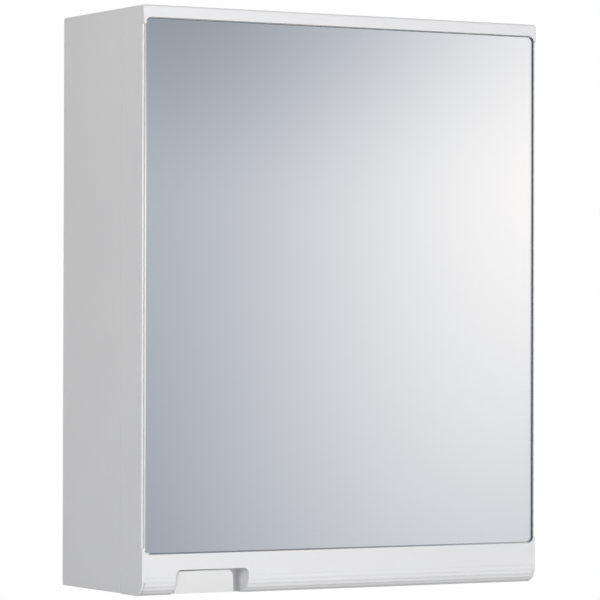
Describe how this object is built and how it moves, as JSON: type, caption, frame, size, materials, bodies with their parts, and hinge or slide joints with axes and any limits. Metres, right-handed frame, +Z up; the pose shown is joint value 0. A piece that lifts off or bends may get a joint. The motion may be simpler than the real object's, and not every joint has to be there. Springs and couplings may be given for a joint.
{
  "type": "bathroom mirror cabinet",
  "caption": "White wall-hung bathroom cabinet with a side-hinged mirror door, a finger grip with a sliding lock, inner shelves, door trays and a magnetic catch.",
  "frame": {"origin": "on the back face, midway between the two upper wall-screw slots", "axes": "+X to the viewer's right, +Y back to the wall, +Z up"},
  "size_m": [0.3623, 0.14, 0.45],
  "materials": {
    "white_moulding": "satin moulded polystyrene",
    "white_door": "satin moulded polystyrene",
    "white_fittings": "satin moulded plastic",
    "white_shelf": "fine matt moulded plastic",
    "mirror": "silvered float glass, ground edge",
    "foam_tape": "closed-cell foam",
    "hinge_metal": "white powder coat",
    "zinc_steel": "bright zinc plated",
    "ferrite": "ground ferrite"
  },
  "bodies": {
    "cabinet": {"cabinet_shell": "white_moulding", "shelf_upper": "white_shelf", "shelf_lower": "white_shelf", "shelf_pegs_upper": "white_fittings", "shelf_pegs_lower": "white_fittings", "hinge_upper_cabinet_leaf": "hinge_metal", "hinge_lower_cabinet_leaf": "hinge_metal", "hinge_upper_pin": "zinc_steel", "hinge_lower_pin": "zinc_steel", "cabinet_leaf_screws": "zinc_steel", "magnet_housing": "white_fittings", "magnet_block": "ferrite", "magnet_pole_plates": "zinc_steel", "magnet_screws": "zinc_steel", "lock_keeper": "zinc_steel", "keeper_screws": "zinc_steel"},
    "door": {"door_shell": "white_door", "mirror_glass": "mirror", "mirror_tape_strips": "foam_tape", "door_tray_upper": "white_shelf", "door_tray_lower": "white_shelf", "hinge_upper_door_leaf": "hinge_metal", "hinge_lower_door_leaf": "hinge_metal", "door_leaf_screws": "zinc_steel", "strike_plate": "zinc_steel", "strike_screw": "zinc_steel"},
    "lock_slider": {"slider_plate": "white_fittings", "lock_bolt": "zinc_steel", "slider_screws": "zinc_steel"}
  },
  "joints": [
    {"name": "door_hinge", "type": "hinge", "parent": "cabinet", "child": "door", "pos_m": [0.1813, -0.10225, -0.185], "axis": [0, 0, 1], "range_deg": [0, 110]},
    {"name": "lock_slide", "type": "slide", "parent": "door", "child": "lock_slider", "axis": [1, 0, 0], "range_m": [0, 0.008]}
  ]
}
